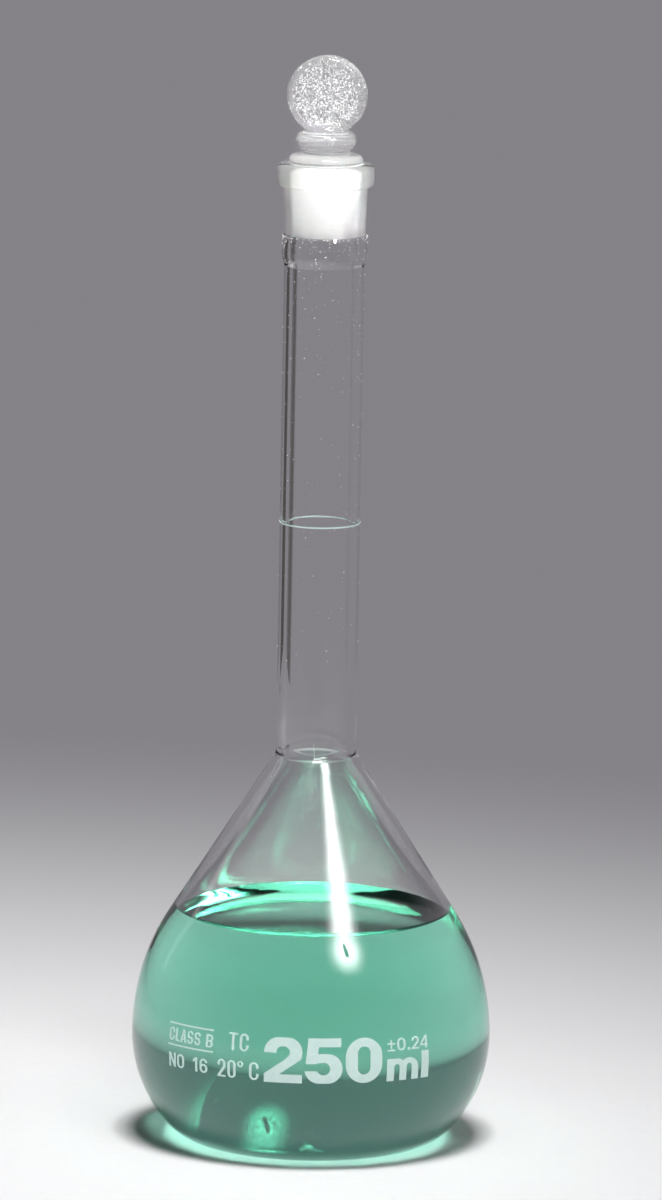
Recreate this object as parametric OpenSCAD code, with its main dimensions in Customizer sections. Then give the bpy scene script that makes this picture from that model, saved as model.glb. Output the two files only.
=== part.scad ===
// Volumetric flask, 250 ml, with a ground-in glass stopper and a green solution in it.
// Units are millimetres. +Z is up, the origin is the middle of the base, and the front is -Y.
// The glass is revolved about Z, and the printed marks lie on the belly's curved outer face.

/* [Bulb] */
// Largest outside diameter of the bulb
bulb_d = 79.9; // [78:0.1:82]
// Height of the widest part above the table
equator_z = 24.2; // [23.5:0.1:25]
// Radius of the belly arc below the widest part
belly_r = 29.9; // [29:0.1:31]
// Angle that the belly arc turns through before the heel
belly_sweep = 42.5; // [40:0.5:45]
// Radius of the shoulder arc above the widest part
shoulder_r = 50; // [48:0.5:53]
// Angle between the shoulder cone and the axis
cone_angle = 32.6; // [31.6:0.1:33.6]
// Wall thickness of the blown bulb
wall = 1.4; // [1:0.1:1.6]
// Width of the flat ring that the flask stands on
foot_w = 1.6; // [1:0.1:2.2]
// Height of the push-up in the middle of the base
punt_h = 2.4; // [1.5:0.1:3]

/* [Neck] */
// Outside diameter of the neck tube
neck_d = 17.8; // [17.4:0.1:18]
// Bore of the neck tube
neck_bore = 14; // [13.6:0.1:14.2]
// Height of the seam between the bulb's neck stub and the tube
seam_z = 103.8; // [98:0.1:110]
// Height of the seam between the tube and the socket
socket_z = 196.6; // [192:0.1:198]
// Radius of the fillet between the shoulder cone and the neck
neck_fillet = 2.6; // [1.5:0.1:4]
// How far the weld ridge at the foot of the neck stands out
weld_h = 0.3; // [0.1:0.05:0.5]

/* [Graduation] */
// Height of the 250 ml ring line
ring_z = 139.3; // [130:0.1:146]
// Width of the ring line
ring_w = 0.32; // [0.2:0.01:0.5]
// Thickness of the fired enamel
enamel_t = 0.1; // [0.08:0.01:0.15]

/* [Socket] */
// Height of the rim's top face
rim_z = 219.3; // [218:0.1:221]
// Outside diameter of the rim bead
rim_d = 21.5; // [21:0.1:22.5]
// Height of the rim bead
rim_h = 5.2; // [4.5:0.1:5.5]
// Outside diameter of the socket under the rim
socket_top_d = 18.7; // [18.5:0.1:18.9]
// Outside diameter at the foot of the ground zone
socket_foot_d = 18; // [17.8:0.1:18.2]
// Largest outside diameter of the clear skirt below the ground zone
skirt_d = 19; // [18.6:0.1:19.4]
// Diameter of the ground taper at the rim's top
taper_top_d = 16; // [15.8:0.05:16.2]
// Length of the ground taper
taper_l = 16; // [15:0.5:17]

/* [Stopper] */
// Length of the plug below the rim's top
plug_l = 14.5; // [12:0.5:14.5]
// Gap left all round between plug and socket
joint_gap = 0.03; // [0.02:0.01:0.08]
// Diameter of the domed collar on top of the plug
collar_d = 16.4; // [16.2:0.1:17]
// Diameter of the short stem above the collar
stem_d = 10.3; // [9.5:0.1:11]
// Diameter of the round bead
bead_d = 13.3; // [12.4:0.1:14]
// Height of the round bead
bead_h = 4.1; // [3.8:0.1:4.4]
// Diameter of the waist between bead and disc
waist_d = 9.8; // [9:0.1:10]
// Diameter of the disc grip
disc_d = 17.6; // [16.8:0.1:18.4]
// Thickness of the disc grip
disc_t = 5.2; // [4.5:0.1:6]
// How far the disc is turned about the flask's axis
disc_turn = -9; // [-90:1:90]

/* [Solution] */
// Height of the liquid's surface at the axis
liquid_z = 50.2; // [30:0.1:60]

/* [Print] */
// Height of the print's base line
print_z = 20.8; // [20:0.1:21.5]
// Height of the big numerals
numeral_h = 10.1; // [9.5:0.1:10.5]
// Thickness of the big numerals' upright strokes
numeral_t = 2.75; // [2.2:0.05:3]
// How far the whole print is turned to the right of the front
print_turn = 0; // [-180:1:180]

/* [Hidden] */

$fn = 360;

clear_glass = [0.86, 0.90, 0.92, 0.35];
ground_glass = [0.92, 0.94, 0.95, 0.8];
liquid_green = [0.30, 0.76, 0.58, 0.8];
enamel_white = [0.93, 0.96, 0.95];

// Longer than anything here, for cutting shapes
big = 120;
// How far one band of the bulb runs into the next: each arc lies inside the one above it
lap = 2;
// How far each arc stands out from the one it runs into, so that the two cross cleanly
hair = 0.005;

// Bulb: heel, belly and shoulder arcs and the cone all run into each other without a corner
bulb_r = bulb_d / 2;
belly_x = bulb_r - belly_r;
heel_r = (equator_z - belly_r * sin(belly_sweep)) / (1 - sin(belly_sweep));
heel_x = belly_x + (belly_r - heel_r) * cos(belly_sweep);
shoulder_x = bulb_r - shoulder_r;
cone_x = shoulder_x + shoulder_r * cos(cone_angle);
cone_z = equator_z + shoulder_r * sin(cone_angle);

// Neck: the tube and the bulb's neck stub have one bore, and a fillet joins the stub to the cone
neck_r = neck_d / 2;
bore_r = neck_bore / 2;

// Base: the push-up is part of a sphere through the inner edge of the flat ring
foot_r = heel_x - foot_w;
punt_r = (foot_r * foot_r + punt_h * punt_h) / (2 * punt_h);
punt_z = punt_h - punt_r;

// Height of the weld ridge, where the cone has become the neck
weld_z = cone_z + (cone_x - neck_r) / tan(cone_angle);

// Socket: the ground taper narrows by 1 in 10 on its diameter
taper = 1 / 20;
taper_top_r = taper_top_d / 2;
taper_foot_z = rim_z - taper_l;
taper_foot_r = taper_top_r - taper_l * taper;
rim_round = 1.3;
lip_chamfer = 0.4;
skirt_z = socket_z + 3.2;
skirt_bore_r = bore_r + 0.6;
socket_foot_z = taper_foot_z + 0.7;

// Stopper
plug_foot_z = rim_z - plug_l;
plug_chamfer = 0.7;
collar_z = rim_z + 0.1;
collar_h = 1.8;
collar_round = 1.2;
bead_z = rim_z + 5.1;
bead_r = bead_h / 2;
disc_r = disc_d / 2;
disc_z = rim_z + 15;
disc_round = 1.4;
waist_top_z = disc_z - disc_r + 2;
waist_blend_h = 2.4;

// Print: strokes that lie flat are thinner than upright ones
flat_stroke = 0.7;
small_t = 0.58;

// The part of a circle that lies between two heights, filled in to the axis
module arc_band(x, z, r, low, high) {
    intersection() {
        union() {
            translate([x, z]) circle(r);
            if (x > 0) translate([0, low]) square([x, high - low]);
        }
        translate([0, low]) square([big, high - low]);
    }
}

// Section of the bulb from base to seam, moved in by inset, with a neck of radius tube_r
module bulb_outline(inset, tube_r, fillet) {
    heel_end_z = heel_r - (heel_r - inset) * sin(belly_sweep);
    cone_foot_x = cone_x - (inset + 2 * hair) * cos(cone_angle);
    cone_foot_z = cone_z - (inset + 2 * hair) * sin(cone_angle);
    cone_top_x = tube_r + fillet * (1 - cos(cone_angle));
    cone_top_z = cone_foot_z + (cone_foot_x - cone_top_x) / tan(cone_angle);
    fillet_z = cone_top_z + fillet * sin(cone_angle);
    arc_band(heel_x, heel_r, heel_r - inset + hair, inset, heel_end_z + lap);
    arc_band(belly_x, equator_z, belly_r - inset, heel_end_z, equator_z + lap);
    arc_band(shoulder_x, equator_z, shoulder_r - inset - hair, equator_z, cone_foot_z + lap);
    difference() {
        polygon([[0, cone_foot_z], [cone_foot_x, cone_foot_z], [cone_top_x, cone_top_z],
                 [tube_r + fillet, fillet_z], [tube_r, fillet_z], [tube_r, seam_z], [0, seam_z]]);
        translate([tube_r + fillet, fillet_z]) circle(fillet + hair);
    }
}

// Section of the space inside the bulb, above the push-up
module cavity_section() {
    difference() {
        bulb_outline(wall, bore_r, neck_fillet + wall);
        translate([0, punt_z]) circle(punt_r + wall);
    }
}

// Small ridge where the shoulder was drawn out into the neck
module weld_section() {
    translate([neck_r, weld_z]) circle(weld_h);
}

module bulb() color(clear_glass) rotate_extrude() {
    difference() {
        union() {
            bulb_outline(0, neck_r, neck_fillet);
            weld_section();
        }
        translate([0, punt_z]) circle(punt_r);
        cavity_section();
    }
}

module neck_tube() color(clear_glass) translate([0, 0, seam_z]) {
    difference() {
        cylinder(h = socket_z - seam_z, r = neck_r);
        translate([0, 0, -1]) cylinder(h = socket_z - seam_z + 2, r = bore_r);
    }
}

// Rectangle from the axis out to r whose outer corners have the given radii
module round_edge_band(r, low, high, low_round, high_round) {
    square_r = r - max(low_round, high_round);
    translate([0, low]) square([square_r, high - low]);
    translate([0, low + low_round]) square([r, high - low - low_round - high_round]);
    translate([r - low_round, low + low_round]) circle(low_round);
    translate([r - high_round, high - high_round]) circle(high_round);
}

module socket_outline() {
    polygon([[0, socket_z], [neck_r, socket_z], [skirt_d / 2 - 0.15, skirt_z - 1.4],
             [skirt_d / 2, skirt_z], [socket_foot_d / 2 + 0.1, socket_foot_z - 0.5],
             [socket_foot_d / 2, socket_foot_z], [socket_top_d / 2, rim_z - rim_h + rim_round],
             [0, rim_z - rim_h + rim_round]]);
    round_edge_band(rim_d / 2, rim_z - rim_h, rim_z, rim_round, rim_round);
}

// The way through the socket: bore, wider skirt, ground taper and a bevel at the lip
module socket_way() {
    polygon([[0, socket_z - 1], [bore_r, socket_z - 1], [bore_r, socket_z],
             [skirt_bore_r, skirt_z - 1.4], [skirt_bore_r, skirt_z],
             [taper_foot_r, taper_foot_z], [taper_top_r - lip_chamfer * taper, rim_z - lip_chamfer],
             [taper_top_r + lip_chamfer, rim_z], [taper_top_r + lip_chamfer, rim_z + 1],
             [0, rim_z + 1]]);
}

module joint_socket() color(ground_glass) rotate_extrude() {
    difference() {
        socket_outline();
        socket_way();
    }
}

// Ground plug, collar, stem, bead and waist, which are round
module stopper_section() {
    plug_top_r = taper_top_r - joint_gap;
    plug_foot_r = plug_top_r - plug_l * taper;
    polygon([[0, plug_foot_z], [plug_foot_r - plug_chamfer, plug_foot_z],
             [plug_foot_r, plug_foot_z + plug_chamfer], [plug_top_r, rim_z],
             [plug_top_r, collar_z + 0.5], [0, collar_z + 0.5]]);
    round_edge_band(collar_d / 2, collar_z, collar_z + collar_h, 0.4, collar_round);
    translate([0, collar_z]) square([stem_d / 2, bead_z - collar_z]);
    translate([bead_d / 2 - bead_r, bead_z]) circle(bead_r);
    translate([0, bead_z]) square([waist_d / 2, waist_top_z - bead_z]);
    polygon([[0, waist_top_z], [waist_d / 2, waist_top_z],
             [waist_d / 2 - waist_blend_h, waist_top_z + waist_blend_h],
             [0, waist_top_z + waist_blend_h]]);
}

// Disc grip with round edges, standing on edge
module disc_grip() {
    translate([0, 0, disc_z]) rotate([90, 0, disc_turn]) rotate_extrude() {
        translate([0, -disc_t / 2])
            round_edge_band(disc_r, 0, disc_t, disc_round, disc_round);
    }
}

module stopper() color(ground_glass) {
    rotate_extrude() stopper_section();
    disc_grip();
}

module solution() color(liquid_green) rotate_extrude() {
    intersection() {
        cavity_section();
        square([big, liquid_z]);
    }
}

module graduation_ring() color(enamel_white) translate([0, 0, ring_z - ring_w / 2]) {
    difference() {
        cylinder(h = ring_w, r = neck_r + enamel_t);
        translate([0, 0, -1]) cylinder(h = ring_w + 2, r = neck_r);
    }
}

// Glyphs: each is w wide and h high, its upright strokes are t thick and its flat ones thinner,
// and its lower left corner is at the origin

module stadium(w, h) {
    r = min(w, h) / 2;
    translate([r, r]) circle(r);
    if (w != h) translate([w - r, h - r]) circle(r);
    if (w > h) translate([r, 0]) square([w - h, h]);
    if (h > w) translate([0, r]) square([w, h - w]);
}

module loop_stroke(w, h, t) {
    difference() {
        stadium(w, h);
        translate([t, flat_stroke * t]) stadium(w - 2 * t, h - 2 * flat_stroke * t);
    }
}

module upright(x, low, high, t) {
    translate([x, low]) square([t, high - low]);
}

module flat(x, z, w, t) {
    translate([x, z]) square([w, flat_stroke * t]);
}

// Sloping stroke, t wide measured along x
module slant(x0, z0, x1, z1, t) {
    polygon([[x0, z0], [x0 + t, z0], [x1 + t, z1], [x1, z1]]);
}

module glyph_1(w, h, t) {
    upright(w - t, 0, h, t);
    polygon([[0, h * 0.66], [w - t, h * 0.76], [w - t, h], [0, h * 0.66 + t]]);
}

module glyph_2(w, h, t) {
    bowl = h * 0.64;
    cut = h - bowl / 2;
    difference() {
        translate([0, h - bowl]) loop_stroke(w, bowl, t);
        translate([-1, 0]) square([w / 2 + 1, cut - h * 0.02]);
        translate([0, 0]) square([w, h - bowl * 0.7]);
    }
    slant(0, flat_stroke * t, w - t * 1.25, h - bowl * 0.7, t * 1.25);
    flat(0, 0, w, t);
}

module glyph_4(w, h, t) {
    upright(w - t * 1.5, 0, h, t);
    flat(0, h * 0.2, w, t);
    slant(0, h * 0.2 + flat_stroke * t, w - t * 1.6, h, t);
}

module glyph_5(w, h, t) {
    bowl = h * 0.66;
    difference() {
        loop_stroke(w, bowl, t);
        translate([-1, bowl * 0.42]) square([w * 0.42 + 1, bowl * 0.28]);
    }
    slant(w * 0.03, bowl * 0.66, w * 0.1, h, t * 0.9);
    flat(w * 0.1, h - flat_stroke * t, w * 0.86, t);
}

module glyph_6(w, h, t) {
    loop_stroke(w, h * 0.62, t);
    difference() {
        loop_stroke(w, h, t);
        translate([t, -1]) square([w, h * 0.72 + 1]);
    }
}

module glyph_m(w, h, t) {
    arch = (w + t) / 2;
    upright(0, 0, h, t);
    for (x = [0, w - arch]) translate([x, 0]) difference() {
        translate([0, -h]) loop_stroke(arch, 2 * h, t);
        translate([-1, -2 * h]) square([arch + 2, 2 * h]);
    }
}

module glyph_plus_minus(w, h, t) {
    flat(0, 0, w, t);
    flat(0, h * 0.52, w, t);
    upright((w - t * flat_stroke) / 2, h * 0.22, h * 0.9, t * flat_stroke);
}

module glyph_A(w, h, t) {
    slant(0, 0, (w - t) / 2, h, t);
    slant(w - t, 0, (w - t) / 2, h, t);
    flat(w * 0.2, h * 0.22, w * 0.6, t);
}

module glyph_B(w, h, t) {
    upright(0, 0, h, t);
    lobe_h = (h + flat_stroke * t) / 2;
    for (low = [0, h - lobe_h]) difference() {
        translate([-w / 2, low]) loop_stroke(w * 1.5, lobe_h, t);
        translate([-w, -1]) square([w, h + 2]);
    }
}

module glyph_C(w, h, t) {
    difference() {
        loop_stroke(w, h, t);
        translate([w / 2, h * 0.36]) square([w, h * 0.28]);
    }
}

module glyph_N(w, h, t) {
    upright(0, 0, h, t);
    upright(w - t, 0, h, t);
    slant(w - t, 0, 0, h, t);
}

module glyph_S(w, h, t) {
    lobe_h = (h + flat_stroke * t) / 2;
    difference() {
        loop_stroke(w, lobe_h, t);
        translate([-1, lobe_h * 0.5]) square([w * 0.45 + 1, lobe_h * 0.5 - flat_stroke * t]);
    }
    translate([0, h - lobe_h]) difference() {
        loop_stroke(w, lobe_h, t);
        translate([w * 0.55, flat_stroke * t]) square([w, lobe_h * 0.5 - flat_stroke * t]);
    }
}

module glyph(name, w, h, t) {
    if (name == "0" || name == "O") loop_stroke(w, h, t);
    if (name == "1") glyph_1(w, h, t);
    if (name == "2") glyph_2(w, h, t);
    if (name == "4") glyph_4(w, h, t);
    if (name == "5") glyph_5(w, h, t);
    if (name == "6") glyph_6(w, h, t);
    if (name == "l") upright(0, 0, h, t);
    if (name == "m") glyph_m(w, h, t);
    if (name == "plus_minus") glyph_plus_minus(w, h, t);
    if (name == "point") upright(0, 0, t, t);
    if (name == "degree") translate([0, h - w]) loop_stroke(w, w, t);
    if (name == "A") glyph_A(w, h, t);
    if (name == "B") glyph_B(w, h, t);
    if (name == "C") glyph_C(w, h, t);
    if (name == "L") {
        upright(0, 0, h, t);
        flat(0, 0, w, t);
    }
    if (name == "N") glyph_N(w, h, t);
    if (name == "S") glyph_S(w, h, t);
    if (name == "T") {
        upright((w - t) / 2, 0, h, t);
        flat(0, h - flat_stroke * t, w, t);
    }
}

// Section of the enamel layer on the bulb between two heights
module enamel_section(low, high) {
    intersection() {
        difference() {
            bulb_outline(-enamel_t, neck_r, neck_fillet);
            bulb_outline(0, neck_r, neck_fillet);
        }
        translate([0, low]) square([big, high - low]);
    }
}

// Angle round Z that belongs to a distance round the widest part of the bulb
function turn(distance) = print_turn + distance / bulb_r * 180 / PI;

// Line of print along the belly. Each letter is [name, where it starts, its width], and a start is
// measured in millimetres round the widest part of the bulb, to the right of the front.
module print_line(letters, low, h, t) {
    for (letter = letters) intersection() {
        rotate_extrude() enamel_section(low - 1, low + h + 1);
        rotate([0, 0, turn(letter[1] + letter[2] / 2)]) translate([-letter[2] / 2, 0, low])
            rotate([90, 0, 0]) linear_extrude(bulb_r + 1) glyph(letter[0], letter[2], h, t);
    }
}

// Bar of print along the belly
module print_bar(start, w, low, h) {
    rotate([0, 0, turn(start) - 90]) rotate_extrude(angle = w / bulb_r * 180 / PI)
        enamel_section(low, low + h);
}

module capacity_numerals() color(enamel_white) {
    print_line([["2", -10.2, 8.5], ["5", -1.2, 8.4], ["0", 7.9, 8.4]], print_z, numeral_h, numeral_t);
}

module capacity_unit() color(enamel_white) {
    print_line([["m", 17.5, 8]], print_z, 5, 1.75);
    print_line([["l", 26.4, 2]], print_z, 6.1, 2);
}

module tolerance_mark() color(enamel_white) {
    print_line([["plus_minus", 17.6, 1.9], ["0", 20, 2.1], ["point", 22.8, 0.5],
                ["2", 23.8, 1.9], ["4", 26, 2.2]], print_z + 6.7, 2.8, 0.5);
}

module calibration_mark() color(enamel_white) {
    print_line([["T", -18.7, 2.2], ["C", -16, 2.1]], print_z + 6.4, 3.9, small_t);
}

module temperature_mark() color(enamel_white) {
    print_line([["2", -21.3, 2], ["0", -18.8, 2], ["C", -13.6, 2.2]], print_z + 0.2, 4, small_t);
    print_line([["degree", -16.4, 1.4]], print_z + 0.2, 4, 0.4);
}

// Class of accuracy, between two bars
module class_mark() color(enamel_white) {
    for (z = [5.2, 10]) print_bar(-36, 13.4, print_z + z, 0.36);
    print_line([["C", -35.7, 1.7], ["L", -33.6, 1.3], ["A", -32, 1.8], ["S", -29.9, 1.7],
                ["S", -27.8, 1.7], ["B", -24.5, 1.8]], print_z + 6.3, 2.9, 0.5);
}

module stopper_size_mark() color(enamel_white) {
    print_line([["N", -35.6, 2.2], ["O", -32.9, 2.2], ["1", -28, 1.2], ["6", -26.1, 2.1]],
               print_z + 0.4, 3.2, 0.55);
}

bulb();
neck_tube();
joint_socket();
stopper();
solution();
graduation_ring();
capacity_numerals();
capacity_unit();
tolerance_mark();
calibration_mark();
temperature_mark();
class_mark();
stopper_size_mark();
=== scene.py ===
import math
import random

import bpy
from mathutils import Matrix, Vector, noise


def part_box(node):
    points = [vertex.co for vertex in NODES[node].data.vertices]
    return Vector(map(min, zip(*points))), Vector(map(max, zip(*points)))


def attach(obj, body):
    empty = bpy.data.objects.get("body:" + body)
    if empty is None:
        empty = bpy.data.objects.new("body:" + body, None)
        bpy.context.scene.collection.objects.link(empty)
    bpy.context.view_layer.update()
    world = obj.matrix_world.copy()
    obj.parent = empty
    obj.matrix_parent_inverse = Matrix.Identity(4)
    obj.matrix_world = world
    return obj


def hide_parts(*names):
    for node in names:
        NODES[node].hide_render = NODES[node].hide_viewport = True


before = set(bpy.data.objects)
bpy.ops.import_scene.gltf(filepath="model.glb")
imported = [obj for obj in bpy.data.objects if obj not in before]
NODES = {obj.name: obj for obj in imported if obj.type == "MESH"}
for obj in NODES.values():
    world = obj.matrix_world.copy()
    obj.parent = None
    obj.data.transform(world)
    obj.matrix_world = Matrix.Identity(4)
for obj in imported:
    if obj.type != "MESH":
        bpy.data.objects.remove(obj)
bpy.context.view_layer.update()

# Looks of a 250 ml volumetric flask with its stopper and a green solution.
# The outlines below are in millimetres, as (distance from the axis, height); the meshes are in metres.

MM = 0.001


def edge_mm(node, corner, axis):
    """One edge of a CAD node's box in millimetres: corner 0 is the lowest, 1 the highest."""
    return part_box(node)[corner][axis] / MM


# Sizes that the CAD nodes' boxes give
bulb_r = edge_mm("bulb", 1, 0)
seam_z = edge_mm("bulb", 1, 2)
neck_r = edge_mm("neck_tube", 1, 0)
socket_z = edge_mm("neck_tube", 1, 2)
rim_r = edge_mm("joint_socket", 1, 0)
rim_z = edge_mm("joint_socket", 1, 2)
plug_foot_z = edge_mm("stopper", 0, 2)
top_z = edge_mm("stopper", 1, 2)
liquid_z = edge_mm("solution", 1, 2)

# The bulb's shape: heel, belly and shoulder arcs, then a cone, each running into the next
wall = 1.4
belly_r = 29.9
belly_sweep = 42.5
shoulder_r = 50.0
cone_angle = 32.6
equator_z = 24.2
foot_w = 1.6
punt_h = 2.4
bore_r = 7.0
neck_fillet = 2.6
weld_h = 0.2
weld_w = 0.45

# The socket and its ground taper of 1 in 10 on the diameter
taper = 0.05
taper_top_r = 8.0
taper_l = 16.0
rim_h = 5.2
rim_round = 1.3
lip_chamfer = 0.4
skirt_r = 9.5
skirt_h = 3.2

# The stopper
joint_gap = 0.03
collar_r = 8.2
collar_h = 1.8
stem_r = 5.15
bead_r = 2.05
bead_out_r = 6.65
bead_rise = 5.1
waist_r = 4.9
disc_r = 8.8
disc_t = 5.2
disc_round = 1.4
disc_turn = -9.0
pitted_r = 7.3
pit_depth = 0.16

# The liquid's edge climbs the wall
meniscus_h = 2.1
meniscus_w = 1.5
film_gap = 0.02

speck_count = 500

# Lamp light that comes down within this distance of the axis leaves through the base
gather_r = 34.0
gather_fade = 4.0

glass_ior = 1.47
water_ior = 1.333

# The grey of the room, which the far floor gives off as a painted glow
room_grey = (0.232, 0.224, 0.244)

# The stage, in metres: the middle of the table top and its painted pool of light, the circles of its painted
# falloff, and its edge
floor_centre = (-0.15, -0.06)
painted_pool_r = 0.13
painted_falloff_r = 0.6
floor_edge_r = 0.62

# The height that lights are turned to, and how far over the rim the narrow beam is aimed, in metres
aim_z = 0.06
beam_over_rim = 0.012

TURNS = 192


# ---------------------------------------------------------------- camera

def make_camera():
    """The camera stands 2.35 m away, a little above the flask, and leans a little to one side."""
    data = bpy.data.cameras.new("camera")
    data.sensor_width = 24
    data.lens = 210
    data.clip_start, data.clip_end = 0.1, 50
    camera = bpy.data.objects.new("camera", data)
    bpy.context.scene.collection.objects.link(camera)
    tilt = Matrix.Rotation(math.radians(80.493), 4, "X")
    roll = Matrix.Rotation(math.radians(1.03), 4, "Z")
    camera.matrix_world = Matrix.Translation((0.00279, -2.2947, 0.5061)) @ tilt @ roll
    bpy.context.scene.camera = camera


# ---------------------------------------------------------------- outlines

def arc(x, z, r, start, end, step=2.0):
    """Points on a circle from one angle to another, in degrees from straight outwards."""
    n = max(2, math.ceil(abs(end - start) / step))
    angles = [math.radians(start + (end - start) * i / n) for i in range(n + 1)]
    return [(x + r * math.cos(a), z + r * math.sin(a)) for a in angles]


def line(a, b, step=2.0):
    """Points from a to b, without b."""
    n = max(1, math.ceil(math.dist(a, b) / step))
    return [(a[0] + (b[0] - a[0]) * i / n, a[1] + (b[1] - a[1]) * i / n) for i in range(n)]


def bulb_skin(inset, tube_r, fillet):
    """The bulb's wall from the flat of its base up to the seam, moved in by inset."""
    turn = math.radians(cone_angle)
    sweep = math.radians(belly_sweep)
    belly_x = bulb_r - belly_r
    heel_r = (equator_z - belly_r * math.sin(sweep)) / (1 - math.sin(sweep))
    heel_x = belly_x + (belly_r - heel_r) * math.cos(sweep)
    shoulder_x = bulb_r - shoulder_r
    foot = (shoulder_x + (shoulder_r - inset) * math.cos(turn),
            equator_z + (shoulder_r - inset) * math.sin(turn))
    top_x = tube_r + fillet * (1 - math.cos(turn))
    top = (top_x, foot[1] + (foot[0] - top_x) / math.tan(turn))
    fillet_z = top[1] + fillet * math.sin(turn)
    points = arc(heel_x, heel_r, heel_r - inset, -90, -belly_sweep)
    points += arc(belly_x, equator_z, belly_r - inset, -belly_sweep, 0)[1:]
    points += arc(shoulder_x, equator_z, shoulder_r - inset, 0, cone_angle)[1:-1]
    points += line(foot, top)
    points += arc(tube_r + fillet, fillet_z, fillet, 180 + cone_angle, 180)[:-1]
    points += line((tube_r, fillet_z), (tube_r, seam_z)) + [(tube_r, seam_z)]
    return points, heel_x


def punt_dome(inset, foot_r):
    """The pushed-up middle of the base, from the axis out to the flat."""
    dome_r = (foot_r ** 2 + punt_h ** 2) / (2 * punt_h)
    centre_z = punt_h - dome_r
    edge = math.degrees(math.asin((inset - centre_z) / (dome_r + inset)))
    return arc(0, centre_z, dome_r + inset, 90, edge, step=1.0)


def cut_at(points, height):
    """The points up to a height, and the points above it, both with the point at it."""
    for i, (a, b) in enumerate(zip(points, points[1:])):
        if a[1] <= height < b[1]:
            share = (height - a[1]) / (b[1] - a[1])
            at = (a[0] + (b[0] - a[0]) * share, height)
            return points[:i + 1] + [at], [at] + points[i + 1:]
    raise ValueError("the outline doesn't reach that height")


# ---------------------------------------------------------------- meshes

def revolve(name, bands, materials, turns=TURNS, sharp=30):
    """A piece turned about Z. bands are (points, material slot) and follow each other, going round the
    section so that the solid lies to the left."""
    verts, faces, slots, rings = [], [], [], []

    def ring(point):
        r, z = point
        if r < 1e-6:
            verts.append((0, 0, z * MM))
            return [len(verts) - 1] * turns
        first = len(verts)
        for i in range(turns):
            a = 2 * math.pi * i / turns
            verts.append((r * MM * math.cos(a), r * MM * math.sin(a), z * MM))
        return list(range(first, first + turns))

    for points, slot in bands:
        for point in points:
            if rings and math.dist(point, rings[-1][0]) < 1e-6:
                continue
            closes = rings and math.dist(point, rings[0][0]) < 1e-6
            rings.append((point, rings[0][1] if closes else ring(point), slot))
    for (_, low, _), (_, high, slot) in zip(rings, rings[1:]):
        for i in range(turns):
            j = (i + 1) % turns
            corners = list(dict.fromkeys((low[i], low[j], high[j], high[i])))
            if len(corners) > 2:
                faces.append(corners)
                slots.append(slot)
    return piece(name, verts, faces, slots, materials, sharp)


def piece(name, verts, faces, slots, materials, sharp=30):
    mesh = bpy.data.meshes.new(name)
    mesh.from_pydata(verts, [], faces)
    for material in materials:
        mesh.materials.append(material)
    mesh.polygons.foreach_set("material_index", slots)
    mesh.polygons.foreach_set("use_smooth", [True] * len(faces))
    mesh.set_sharp_from_angle(angle=math.radians(sharp))
    mesh.update()
    made = bpy.data.objects.new(name, mesh)
    bpy.context.scene.collection.objects.link(made)
    return made


# ---------------------------------------------------------------- materials

def new_material(name):
    material = bpy.data.materials.new(name)
    material.use_nodes = True
    nodes, links = material.node_tree.nodes, material.node_tree.links
    nodes.clear()
    out = nodes.new("ShaderNodeOutputMaterial")
    return material, nodes, links, out


def noise_node(nodes, links, scale, detail=3.0, stretch=(1, 1, 1)):
    """Noise fixed to the object, with stretch making it longer along an axis."""
    place = nodes.new("ShaderNodeTexCoord")
    size = nodes.new("ShaderNodeMapping")
    size.inputs["Scale"].default_value = stretch
    links.new(place.outputs["Object"], size.inputs["Vector"])
    texture = nodes.new("ShaderNodeTexNoise")
    texture.inputs["Scale"].default_value = scale
    texture.inputs["Detail"].default_value = detail
    links.new(size.outputs["Vector"], texture.inputs["Vector"])
    return texture


def map_range(nodes, links, source, low, high, to_low, to_high, smooth=False):
    node = nodes.new("ShaderNodeMapRange")
    node.interpolation_type = "SMOOTHSTEP" if smooth else "LINEAR"
    node.inputs["From Min"].default_value = low
    node.inputs["From Max"].default_value = high
    node.inputs["To Min"].default_value = to_low
    node.inputs["To Max"].default_value = to_high
    links.new(source, node.inputs["Value"])
    return node.outputs["Result"]


def two_tones(nodes, links, source, low, high):
    """A colour between two, by a value from 0 to 1. low is a colour or a socket that gives one."""
    tone = nodes.new("ShaderNodeMix")
    tone.data_type = "RGBA"
    links.new(source, tone.inputs["Factor"])
    if isinstance(low, tuple):
        tone.inputs["A"].default_value = (*low, 1)
    else:
        links.new(low, tone.inputs["A"])
    tone.inputs["B"].default_value = (*high, 1)
    return tone.outputs["Result"]


def calculated(nodes, links, operation, first, second):
    """A Math node's result, on a socket and a number or two sockets."""
    node = nodes.new("ShaderNodeMath")
    node.operation = operation
    links.new(first, node.inputs[0])
    if isinstance(second, (int, float)):
        node.inputs[1].default_value = second
    else:
        links.new(second, node.inputs[1])
    return node.outputs["Value"]


def distance_away(nodes, links, point):
    """How far a point is from the object's own origin."""
    away = nodes.new("ShaderNodeVectorMath")
    away.operation = "LENGTH"
    links.new(point, away.inputs[0])
    return away.outputs["Value"]


def mixed(nodes, links, share, first, second):
    """Two shaders mixed: share is a number or a socket, and 1 is all of the second."""
    mix = nodes.new("ShaderNodeMixShader")
    if isinstance(share, (int, float)):
        mix.inputs["Fac"].default_value = share
    else:
        links.new(share, mix.inputs["Fac"])
    links.new(first, mix.inputs[1])
    links.new(second, mix.inputs[2])
    return mix.outputs["Shader"]


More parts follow.
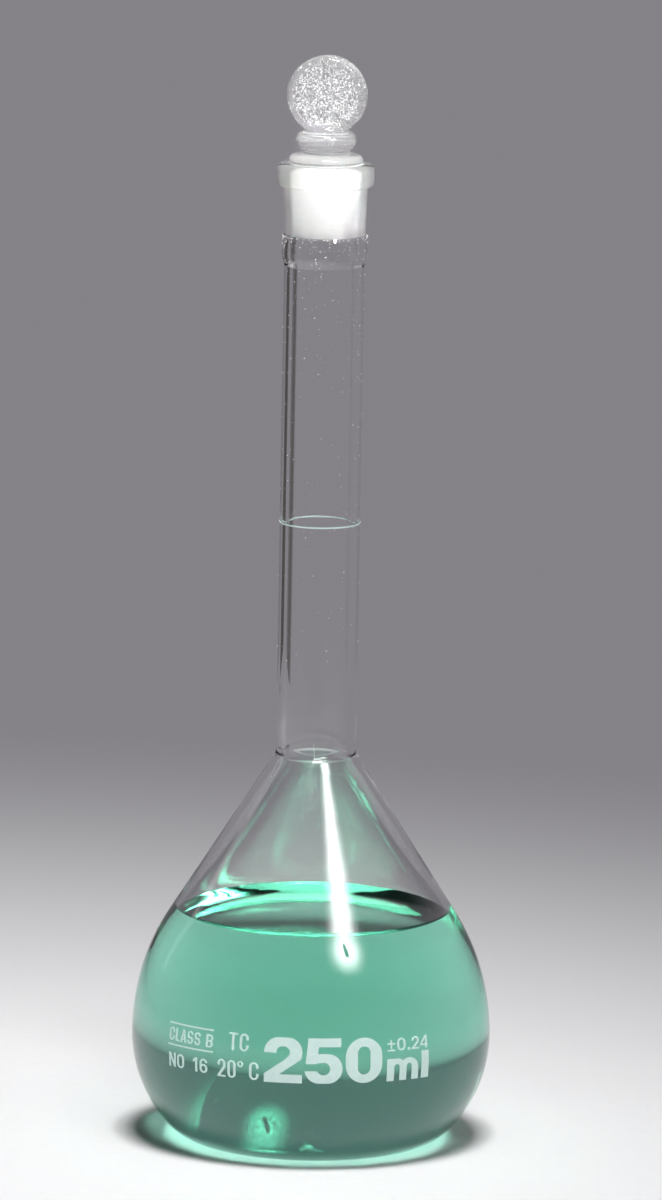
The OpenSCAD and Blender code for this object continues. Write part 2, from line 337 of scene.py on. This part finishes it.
def glass_shader(nodes, links, ior, roughness, wave, wave_scale, stretch=(1, 1, 1)):
    """Clear glass whose surface is a little wavy, as blown and drawn glass is."""
    shader = nodes.new("ShaderNodeBsdfPrincipled")
    shader.inputs["Base Color"].default_value = (1, 1, 1, 1)
    shader.inputs["Transmission Weight"].default_value = 1
    shader.inputs["IOR"].default_value = ior
    waves = noise_node(nodes, links, wave_scale, 2.0, stretch)
    links.new(map_range(nodes, links, waves.outputs["Fac"], 0.3, 0.7, roughness * 0.5, roughness),
              shader.inputs["Roughness"])
    bump = nodes.new("ShaderNodeBump")
    bump.inputs["Strength"].default_value = 1
    bump.inputs["Distance"].default_value = wave
    links.new(waves.outputs["Fac"], bump.inputs["Height"])
    links.new(bump.outputs["Normal"], shader.inputs["Normal"])
    return shader


def letting_lamps_through(nodes, links, shader, full_bulb=False):
    """The shader, but open to lamp light on its way to what is behind. A full bulb throws the light that
    leaves its lower side inwards, so there only the middle lets it out and the shadow keeps a dark rim."""
    path = nodes.new("ShaderNodeLightPath")
    gap = nodes.new("ShaderNodeBsdfTransparent")
    gap.inputs["Color"].default_value = (0.95, 0.95, 0.95, 1)
    if full_bulb:
        place = nodes.new("ShaderNodeTexCoord")
        flat = nodes.new("ShaderNodeVectorMath")
        flat.operation = "MULTIPLY"
        flat.inputs[1].default_value = (1, 1, 0)
        links.new(place.outputs["Object"], flat.inputs[0])
        away = distance_away(nodes, links, flat.outputs["Vector"])
        parts = nodes.new("ShaderNodeSeparateXYZ")
        links.new(place.outputs["Object"], parts.inputs["Vector"])
        middle = map_range(nodes, links, away, gather_r * MM, (gather_r - gather_fade) * MM, 0, 1)
        above = map_range(nodes, links, parts.outputs["Z"], (equator_z - 1) * MM, equator_z * MM, 0, 1)
        links.new(calculated(nodes, links, "MAXIMUM", middle, above), gap.inputs["Color"])
    return mixed(nodes, links, path.outputs["Is Shadow Ray"], shader, gap.outputs["BSDF"])


def scattering(nodes, links):
    """White light thrown forward and back: grit's own scatter on ground glass, painted light on clear
    pressed glass.
    """
    grain = noise_node(nodes, links, 4000, 4.0)
    tone = two_tones(nodes, links, grain.outputs["Fac"], (0.93, 0.94, 0.93), (1.0, 1.0, 1.0))
    front = nodes.new("ShaderNodeBsdfDiffuse")
    through = nodes.new("ShaderNodeBsdfTranslucent")
    links.new(tone, front.inputs["Color"])
    links.new(tone, through.inputs["Color"])
    return mixed(nodes, links, 0.35, front.outputs["BSDF"], through.outputs["BSDF"])


def clear_glass(name, ior=glass_ior, roughness=0.02, wave=0.0001, wave_scale=60, stretch=(1, 1, 1),
                white=0, full_bulb=False):
    """Clear glass; white is the share of the light that it scatters: grit on ground glass, painted light on
    clear glass.
    """
    material, nodes, links, out = new_material(name)
    shader = glass_shader(nodes, links, ior, roughness, wave, wave_scale, stretch)
    if white:
        surface = mixed(nodes, links, white, shader.outputs["BSDF"], scattering(nodes, links))
    else:
        surface = letting_lamps_through(nodes, links, shader.outputs["BSDF"], full_bulb)
    links.new(surface, out.inputs["Surface"])
    return material


def pitted_glass():
    """The grip's hammered faces: glass with painted glints, white scattering where a noise runs high."""
    material, nodes, links, out = new_material("pitted_glass")
    shader = glass_shader(nodes, links, glass_ior, 0.2, 0.0002, 2200)
    # Painted glints: white scattering at random spots stands in for glints.
    painted_glint_spots = noise_node(nodes, links, 2600, 2.0)
    share = map_range(nodes, links, painted_glint_spots.outputs["Fac"], 0.46, 0.61, 0.04, 0.8)
    links.new(mixed(nodes, links, share, shader.outputs["BSDF"], scattering(nodes, links)),
              out.inputs["Surface"])
    return material


def fused_seam():
    """Where two glass pieces are fused: nothing shows."""
    material, nodes, links, out = new_material("fused_seam")
    shader = nodes.new("ShaderNodeBsdfTransparent")
    links.new(shader.outputs["BSDF"], out.inputs["Surface"])
    return material


def ground_glass(name, white):
    """Glass ground with grit: a rough surface that scatters most of the light."""
    return clear_glass(name, roughness=0.6, wave=0.00003, wave_scale=3000, white=white)


def speck_white():
    """Dust and tiny chips, bright where the light catches them."""
    material, nodes, links, out = new_material("speck_white")
    shader = nodes.new("ShaderNodeBsdfPrincipled")
    mottle = noise_node(nodes, links, 2000, 2.0)
    links.new(map_range(nodes, links, mottle.outputs["Fac"], 0.3, 0.7, 0.4, 0.7),
              shader.inputs["Roughness"])
    links.new(two_tones(nodes, links, mottle.outputs["Fac"], (0.85, 0.86, 0.86), (1.0, 1.0, 1.0)),
              shader.inputs["Base Color"])
    links.new(shader.outputs["BSDF"], out.inputs["Surface"])
    return material


def water_shader(nodes, links, ior):
    shader = nodes.new("ShaderNodeBsdfPrincipled")
    shader.inputs["Base Color"].default_value = (1, 1, 1, 1)
    shader.inputs["Roughness"].default_value = 0
    shader.inputs["Transmission Weight"].default_value = 1
    shader.inputs["IOR"].default_value = ior
    return letting_lamps_through(nodes, links, shader.outputs["BSDF"], full_bulb=True)


def solution_material():
    """Green liquid: it only tints what is seen through it, as the wetted wall does the bending."""
    material, nodes, links, out = new_material("green_solution")
    depth = nodes.new("ShaderNodeVolumeAbsorption")
    depth.inputs["Color"].default_value = (0.163, 0.778, 0.607, 1)
    depth.inputs["Density"].default_value = 26
    links.new(water_shader(nodes, links, 1.0), out.inputs["Surface"])
    links.new(depth.outputs["Volume"], out.inputs["Volume"])
    return material


def liquid_surface_material():
    material, nodes, links, out = new_material("liquid_surface")
    links.new(water_shader(nodes, links, water_ior), out.inputs["Surface"])
    return material


def enamel():
    """White ceramic enamel, screen printed and fired: slightly uneven and softly shiny. Its mint tint is
    painted green light.
    """
    material, nodes, links, out = new_material("fired_enamel")
    shader = nodes.new("ShaderNodeBsdfPrincipled")
    mottle = noise_node(nodes, links, 900, 4.0)
    # The mint tint of both tones is painted green light; the enamel itself is white.
    links.new(two_tones(nodes, links, mottle.outputs["Fac"], (0.59, 0.78, 0.73), (0.73, 0.91, 0.87)),
              shader.inputs["Base Color"])
    links.new(map_range(nodes, links, mottle.outputs["Fac"], 0.3, 0.7, 0.28, 0.42),
              shader.inputs["Roughness"])
    bump = nodes.new("ShaderNodeBump")
    bump.inputs["Distance"].default_value = 0.00002
    links.new(mottle.outputs["Fac"], bump.inputs["Height"])
    links.new(bump.outputs["Normal"], shader.inputs["Normal"])
    links.new(shader.outputs["BSDF"], out.inputs["Surface"])
    return material


# ---------------------------------------------------------------- pieces

def make_bulb(glass, seam, wet_glass):
    outer, heel_x = bulb_skin(0, neck_r, neck_fillet)
    inner, _ = bulb_skin(wall, bore_r, neck_fillet + wall)
    weld_z = next(z for r, z in outer if z > equator_z and r < neck_r + 0.6)
    outer = [(r + weld_h * math.exp(-((z - weld_z) / weld_w) ** 2) * (z > equator_z), z) for r, z in outer]
    foot_r = heel_x - foot_w
    wet, dry = cut_at(inner, liquid_z + meniscus_h)
    bands = [(punt_dome(0, foot_r) + [(heel_x, 0)] + outer[1:], 0),
             (outer[-1:] + inner[-1:], 1),
             (dry[::-1], 0),
             (wet[::-1] + punt_dome(wall, foot_r)[::-1], 2)]
    return revolve("bulb_blown", bands, [glass, seam, wet_glass])


def liquid_top(edge_r, lift=0.0):
    """The liquid's top from its edge on the wall to the axis, curving up at the wall."""
    ways = (edge_r * (i / 60) ** 2.2 for i in range(61))
    return [(edge_r - x, liquid_z + lift + meniscus_h * math.exp(-x / meniscus_w)) for x in ways]


def make_solution(material):
    """The liquid's side lies just inside the wall."""
    inner, heel_x = bulb_skin(wall + film_gap, bore_r, neck_fillet + wall)
    side, _ = cut_at(inner, liquid_z + meniscus_h)
    outline = punt_dome(wall + film_gap, heel_x - foot_w) + side + liquid_top(side[-1][0])
    return revolve("solution_body", [(outline, 0)], [material], sharp=40)


def make_liquid_surface(material):
    """The sheet where light bends on its way into the liquid, a hair above the tinted body."""
    inner, _ = bulb_skin(wall - film_gap, bore_r, neck_fillet + wall)
    side, _ = cut_at(inner, liquid_z + meniscus_h)
    return revolve("liquid_surface", [(liquid_top(side[-1][0], film_gap / 2), 0)], [material], sharp=40)


def make_neck_tube(glass, seam):
    bands = [([(bore_r, seam_z), (neck_r, seam_z)], 1),
             (line((neck_r, seam_z), (neck_r, socket_z)) + [(neck_r, socket_z)], 0),
             ([(neck_r, socket_z), (bore_r, socket_z)], 1),
             (line((bore_r, socket_z), (bore_r, seam_z)) + [(bore_r, seam_z)], 0)]
    return revolve("neck_drawn_tube", bands, [glass, seam])


def make_socket(glass, seam, ground, socket_painted_glow):
    skirt_z = socket_z + skirt_h
    taper_foot_z = rim_z - taper_l
    taper_foot_r = taper_top_r - taper_l * taper
    out_foot, out_top = (9.0, taper_foot_z + 0.7), (9.35, rim_z - rim_h + 0.7)
    outer = [(neck_r, socket_z), (neck_r + 0.12, socket_z + 0.6), (skirt_r - 0.15, skirt_z - 1.4),
             (skirt_r, skirt_z - 0.4), (skirt_r - 0.05, skirt_z + 0.8), (9.15, out_foot[1] - 0.7)]
    upper = line(out_foot, out_top) + [out_top, (rim_r - rim_round - 0.4, rim_z - rim_h)]
    upper += arc(rim_r - rim_round, rim_z - rim_h + rim_round, rim_round, -90, 0, 9)
    upper += arc(rim_r - rim_round, rim_z - rim_round, rim_round, 0, 90, 9)
    upper += [(taper_top_r + lip_chamfer, rim_z)]
    lip = [(taper_top_r + lip_chamfer, rim_z), (taper_top_r - lip_chamfer * taper, rim_z - lip_chamfer)]
    way = line(lip[-1], (taper_foot_r, taper_foot_z)) + [(taper_foot_r, taper_foot_z)]
    skirt = [way[-1], (bore_r + 0.55, skirt_z + 1.2), (bore_r + 0.6, skirt_z - 0.4),
             (bore_r + 0.5, skirt_z - 1.6), (bore_r + 0.1, socket_z + 0.5), (bore_r, socket_z)]
    foot = [(bore_r, socket_z), (neck_r, socket_z)]
    # Slot 3, the outside along the taper and over the rim, is clear glass with a painted glow.
    bands = [(foot, 1), (outer, 0), (upper, 3), (lip + way, 2), (skirt, 0)]
    return revolve("joint_socket_moulded", bands, [glass, seam, ground, socket_painted_glow], sharp=40)


def stopper_outline():
    """Ground plug, then collar, stem, bead and waist in clear glass."""
    plug_top_r = taper_top_r - joint_gap
    plug_foot_r = plug_top_r - (rim_z - plug_foot_z) * taper
    collar_z = rim_z + 0.1
    bead_z = rim_z + bead_rise
    bead_x = bead_out_r - bead_r
    plug = [(0, plug_foot_z), (plug_foot_r - 0.7, plug_foot_z), (plug_foot_r, plug_foot_z + 0.7)]
    plug += line((plug_foot_r, plug_foot_z + 0.7), (plug_top_r, rim_z)) + [(plug_top_r, rim_z)]
    grip = [(plug_top_r, rim_z), (collar_r - 0.3, collar_z), (collar_r, collar_z + 0.4)]
    grip += arc(collar_r - 1.2, collar_z + 0.6, 1.2, 0, 80, 10)
    grip += arc(stem_r + 0.5, collar_z + collar_h + 0.45, 0.5, 260, 180, 20)
    grip += arc(bead_x, bead_z, bead_r, -70, 78, 8)
    grip += arc(waist_r + 0.35, bead_z + 2.35, 0.35, 250, 180, 20)
    disc_z = top_z - 2 * disc_r
    grip += [(waist_r, disc_z + 1.3), (waist_r - 0.5, disc_z + 2.1), (waist_r - 1.6, disc_z + 2.7),
             (0, disc_z + 3.0)]
    return plug, grip


def pitted(point):
    """How far the pitted face lies below flat at a point, in millimetres."""
    p = Vector(point)
    return pit_depth * (noise.noise(p * 1.1) + 0.7 * noise.noise(p * 2.3) - 0.3)


def make_disc(materials):
    """The grip: a disc on edge, with pitted faces inside a smooth rounded rim."""
    half = disc_t / 2
    rows = [pitted_r * i / 52 for i in range(53)]
    rim = arc(disc_r - disc_round, disc_round - half, disc_round, -90, 0, 8)
    rim += arc(disc_r - disc_round, half - disc_round, disc_round, 0, 90, 8)
    bands = [([(r, -half) for r in rows], 1),
             ([(pitted_r, -half)] + rim + [(pitted_r, half)], 3),
             ([(r, half) for r in rows[::-1]], 1)]
    made = revolve("disc", bands, materials, turns=240)
    for vertex in made.data.vertices:
        x, y, z = (c / MM for c in vertex.co)
        r = math.hypot(x, y)
        if r < pitted_r - 0.1:
            fade = min(1, (pitted_r - r) / 0.6)
            side = math.copysign(1, z)
            vertex.co.z = (z + side * fade * pitted((x, y, z))) * MM
    turn = Matrix.Rotation(math.radians(disc_turn), 4, "Z") @ Matrix.Rotation(math.radians(90), 4, "X")
    made.data.transform(Matrix.Translation((0, 0, (top_z - disc_r) * MM)) @ turn)
    return made


def make_stopper(glass, pits, ground, rim_glass):
    # The fourth material, on the grip's rim, is clear glass with a painted highlight in it.
    materials = [glass, pits, ground, rim_glass]
    plug, grip = stopper_outline()
    made = revolve("stopper_pressed", [(plug, 2), (grip, 0)], materials, turns=160)
    disc = make_disc(materials)
    join = made.modifiers.new("join", "BOOLEAN")
    join.operation, join.solver, join.object = "UNION", "EXACT", disc
    bpy.context.view_layer.update()
    graph = bpy.context.evaluated_depsgraph_get()
    mesh = bpy.data.meshes.new_from_object(made.evaluated_get(graph))
    made.modifiers.clear()
    made.data = mesh
    mesh.set_sharp_from_angle(angle=math.radians(40))
    bpy.data.objects.remove(disc)
    return made


def make_specks(material):
    """Dust and tiny chips on the neck's and the socket's outside, thickest under the ground joint."""
    chance = random.Random(3)
    foot_z = rim_z - taper_l
    verts, faces = [], []
    for _ in range(speck_count):
        share = chance.random()
        z = foot_z - (foot_z - seam_z) * share ** 4
        r = neck_r if z < socket_z else skirt_r - 0.1
        turn = chance.uniform(0, math.tau)
        size = chance.uniform(0.05, 0.13)
        at = Vector((r * math.cos(turn), r * math.sin(turn), z))
        first = len(verts)
        for step in ((1, 0, 0), (0, 1, 0), (-1, 0, 0), (0, -1, 0), (0, 0, 1), (0, 0, -1)):
            verts.append((at + Vector(step) * size) * MM)
        for i in range(4):
            j = (i + 1) % 4
            faces += [(first + i, first + j, first + 4), (first + j, first + i, first + 5)]
    return piece("surface_specks", verts, faces, [0] * len(faces), [material])


# ---------------------------------------------------------------- stage

def circle(radius, n):
    return [(radius * math.cos(math.tau * i / n), radius * math.sin(math.tau * i / n)) for i in range(n)]


def stage_mesh(name, outline, material):
    """A flat stage piece from the points of its outline, in metres."""
    mesh = bpy.data.meshes.new(name)
    mesh.from_pydata([(x, y, 0) for x, y in outline], [], [list(range(len(outline)))])
    mesh.materials.append(material)
    made = bpy.data.objects.new(name, mesh)
    bpy.context.scene.collection.objects.link(made)
    return made


def make_floor():
    """A white table top under a painted pool of light: its white fades all round into a painted glow of the
    room's grey, which also keeps its edge from showing."""
    material, nodes, links, out = new_material("floor_white")
    material.cycles.emission_sampling = "NONE"
    place = nodes.new("ShaderNodeTexCoord")
    away = distance_away(nodes, links, place.outputs["Object"])
    # Painted pool of light: white paper in the middle, fading to a painted grey glow further out
    fade = map_range(nodes, links, away, painted_pool_r, painted_falloff_r, 0, 1, smooth=True)
    grain = noise_node(nodes, links, 400, 3.0)
    tone = two_tones(nodes, links, grain.outputs["Fac"], (0.86, 0.855, 0.865), (0.90, 0.895, 0.905))
    paper = nodes.new("ShaderNodeBsdfDiffuse")
    links.new(tone, paper.inputs["Color"])
    painted_grey_glow = nodes.new("ShaderNodeEmission")
    painted_grey_glow.inputs["Color"].default_value = (*room_grey, 1)
    links.new(mixed(nodes, links, fade, paper.outputs["BSDF"], painted_grey_glow.outputs["Emission"]),
              out.inputs["Surface"])
    floor = stage_mesh("floor", circle(floor_edge_r, 96), material)
    floor.location = (*floor_centre, -0.00005)


def make_room():
    """A grey backdrop behind the flask, a black flag to its left, and a dark room overhead."""
    world = bpy.data.worlds.new("room")
    world.use_nodes = True
    nodes, links = world.node_tree.nodes, world.node_tree.links
    nodes.clear()
    place = nodes.new("ShaderNodeTexCoord")
    parts = nodes.new("ShaderNodeSeparateXYZ")
    links.new(place.outputs["Generated"], parts.inputs["Vector"])

    x, y, z = (parts.outputs[axis] for axis in "XYZ")

    def share(*ranges):
        """1 where every direction part has passed its range, and 0 where any has not reached it."""
        total = None
        for source, low, high in ranges:
            passed = map_range(nodes, links, source, low, high, 0, 1, smooth=True)
            total = passed if total is None else calculated(nodes, links, "MULTIPLY", total, passed)
        return total

    low_down = share((z, 0.35, 0.12))
    behind = share((y, 0.1, 0.85), (z, 0.6, 0.35))
    flag = share((x, -0.24, -0.34), (x, -0.68, -0.58), (y, 0.2, 0.4), (z, -0.32, -0.24), (z, 0.0, -0.08))
    walls = two_tones(nodes, links, low_down, (0.02, 0.019, 0.021), room_grey)
    backdrop = two_tones(nodes, links, behind, walls, room_grey)
    colour = two_tones(nodes, links, flag, backdrop, (0.035, 0.03, 0.025))
    back = nodes.new("ShaderNodeBackground")
    out = nodes.new("ShaderNodeOutputWorld")
    links.new(colour, back.inputs["Color"])
    links.new(back.outputs["Background"], out.inputs["Surface"])
    bpy.context.scene.world = world


def facing_flask(made, azimuth, elevation, distance):
    """Puts a light where its front faces the flask. Azimuth is to the right of the camera, in degrees."""
    a, e = math.radians(azimuth), math.radians(elevation)
    towards = Vector((math.sin(a) * math.cos(e), -math.cos(a) * math.cos(e), math.sin(e)))
    made.location = towards * distance + Vector((0, 0, aim_z))
    made.rotation_mode = "QUATERNION"
    made.rotation_quaternion = towards.to_track_quat("Z", "Y")


def add_softbox(name, azimuth, elevation, distance, width, height, radiance, mirrored=True):
    """mirrored is whether the softbox shows in the glass."""
    data = bpy.data.lights.new(name, "AREA")
    data.shape = "RECTANGLE"
    data.size, data.size_y = width, height
    data.energy = radiance * math.pi * width * height
    light = bpy.data.objects.new(name, data)
    light.visible_glossy = light.visible_transmission = mirrored
    facing_flask(light, azimuth, elevation, distance)
    bpy.context.scene.collection.objects.link(light)


def add_joint_spot():
    """A narrow beam from low in front, on the joint and the stopper only: it passes above the table."""
    data = bpy.data.lights.new("joint_spot", "SPOT")
    data.energy = 240
    data.spot_size = math.radians(3.0)
    data.spot_blend = 0.4
    data.shadow_soft_size = 0.06
    light = bpy.data.objects.new("joint_spot", data)
    facing_flask(light, azimuth=28, elevation=9, distance=1.5)
    light.location.z += rim_z * MM + beam_over_rim - aim_z
    bpy.context.scene.collection.objects.link(light)


def make_umbrella(azimuth, elevation, distance, radius, peak):
    """A round white umbrella, brightest in the middle, with its lamp in front of it. It shows in the glass
    only, and a fill from the same direction lights the matt surfaces."""
    glow, nodes, links, out = new_material("umbrella_glow")
    place = nodes.new("ShaderNodeTexCoord")
    away = distance_away(nodes, links, place.outputs["Object"])
    fade = map_range(nodes, links, away, 0, radius, 1, 0, smooth=True)
    falloff = calculated(nodes, links, "POWER", fade, 2.3)
    light = nodes.new("ShaderNodeEmission")
    links.new(calculated(nodes, links, "MULTIPLY", falloff, peak), light.inputs["Strength"])
    links.new(light.outputs["Emission"], out.inputs["Surface"])
    umbrella = stage_mesh("umbrella", circle(radius, 64), glow)
    umbrella.visible_diffuse = False
    facing_flask(umbrella, azimuth, elevation, distance)

    dark, nodes, links, out = new_material("lamp_housing")
    shader = nodes.new("ShaderNodeBsdfPrincipled")
    shader.inputs["Base Color"].default_value = (0.01, 0.01, 0.01, 1)
    links.new(shader.outputs["BSDF"], out.inputs["Surface"])
    half_head = [(0.044, -0.14), (0.052, 0.04), (0.024, 0.16)]
    head = half_head + [(-x, y) for x, y in reversed(half_head)]
    facing_flask(stage_mesh("umbrella_lamp", head, dark), azimuth, elevation, distance - 0.3)


def make_lights():
    umbrella_at = (31.5, 45.5, 2.6)
    make_umbrella(*umbrella_at, radius=0.84, peak=36)
    add_softbox("umbrella_fill", *umbrella_at, 0.9, 0.9, 6.6, mirrored=False)
    add_softbox("key", 8, 69.5, 1.3, 0.36, 0.36, 44)
    add_softbox("left_strip", -123, 25, 1.2, 0.1, 0.8, 0.8)
    add_joint_spot()


# ---------------------------------------------------------------- build

make_camera()

clear = clear_glass("clear_blown_glass", full_bulb=True)
tube_glass = clear_glass("clear_drawn_glass", wave_scale=400, wave=0.00001, stretch=(1, 1, 0.02))
# The white shares of the stopper, the grip's rim and the socket's outside are painted light on clear glass:
# a painted glow in the stopper and on the socket's outside, and a painted highlight on the grip's rim.
pressed, stopper_painted_glow, rim_painted_highlight, socket_painted_glow = (clear_glass(name, wave_scale=350, wave=0.00004, white=white)
                               for name, white in (("clear_pressed_glass", 0),
                                                   ("pressed_glass_painted_glow", 0.22),
                                                   ("pressed_glass_painted_highlight", 0.2),
                                                   ("joint_outer_painted_glow", 0.08)))
seam = fused_seam()
wet_glass = clear_glass("wetted_glass", ior=glass_ior / water_ior, roughness=0.0, wave=0.00005,
                        full_bulb=True)

bulb = make_bulb(clear, seam, wet_glass)
tube = make_neck_tube(tube_glass, seam)
socket = make_socket(pressed, seam, ground_glass("ground_socket_glass", 0.4), socket_painted_glow)
stopper = make_stopper(stopper_painted_glow, pitted_glass(), ground_glass("ground_plug_glass", 0.95), rim_painted_highlight)
solution = make_solution(solution_material())
surface = make_liquid_surface(liquid_surface_material())

replaced = ((bulb, "flask", "bulb", "clear_glass"),
            (tube, "flask", "neck_tube", "clear_glass"),
            (socket, "flask", "joint_socket", "ground_glass"),
            (stopper, "stopper", "stopper", "stopper_glass"),
            (solution, "flask", "solution", "green_solution"))
for made, body, node, slot in replaced:
    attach(made, body)
    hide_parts(node)

specks = make_specks(speck_white())
for made, slot in ((specks, "ground_glass"), (surface, "green_solution")):
    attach(made, "flask")

white = enamel()
for name, node in NODES.items():
    if name not in [row[2] for row in replaced]:
        node.data.materials.clear()
        node.data.materials.append(white)

make_floor()
make_room()
make_lights()

scene = bpy.context.scene
scene.view_settings.view_transform = "Standard"
scene.cycles.sample_clamp_indirect = 0
scene.cycles.blur_glossy = 0
scene.cycles.max_bounces = 24
scene.cycles.transmission_bounces = 24
scene.cycles.glossy_bounces = 16
scene.cycles.transparent_max_bounces = 24
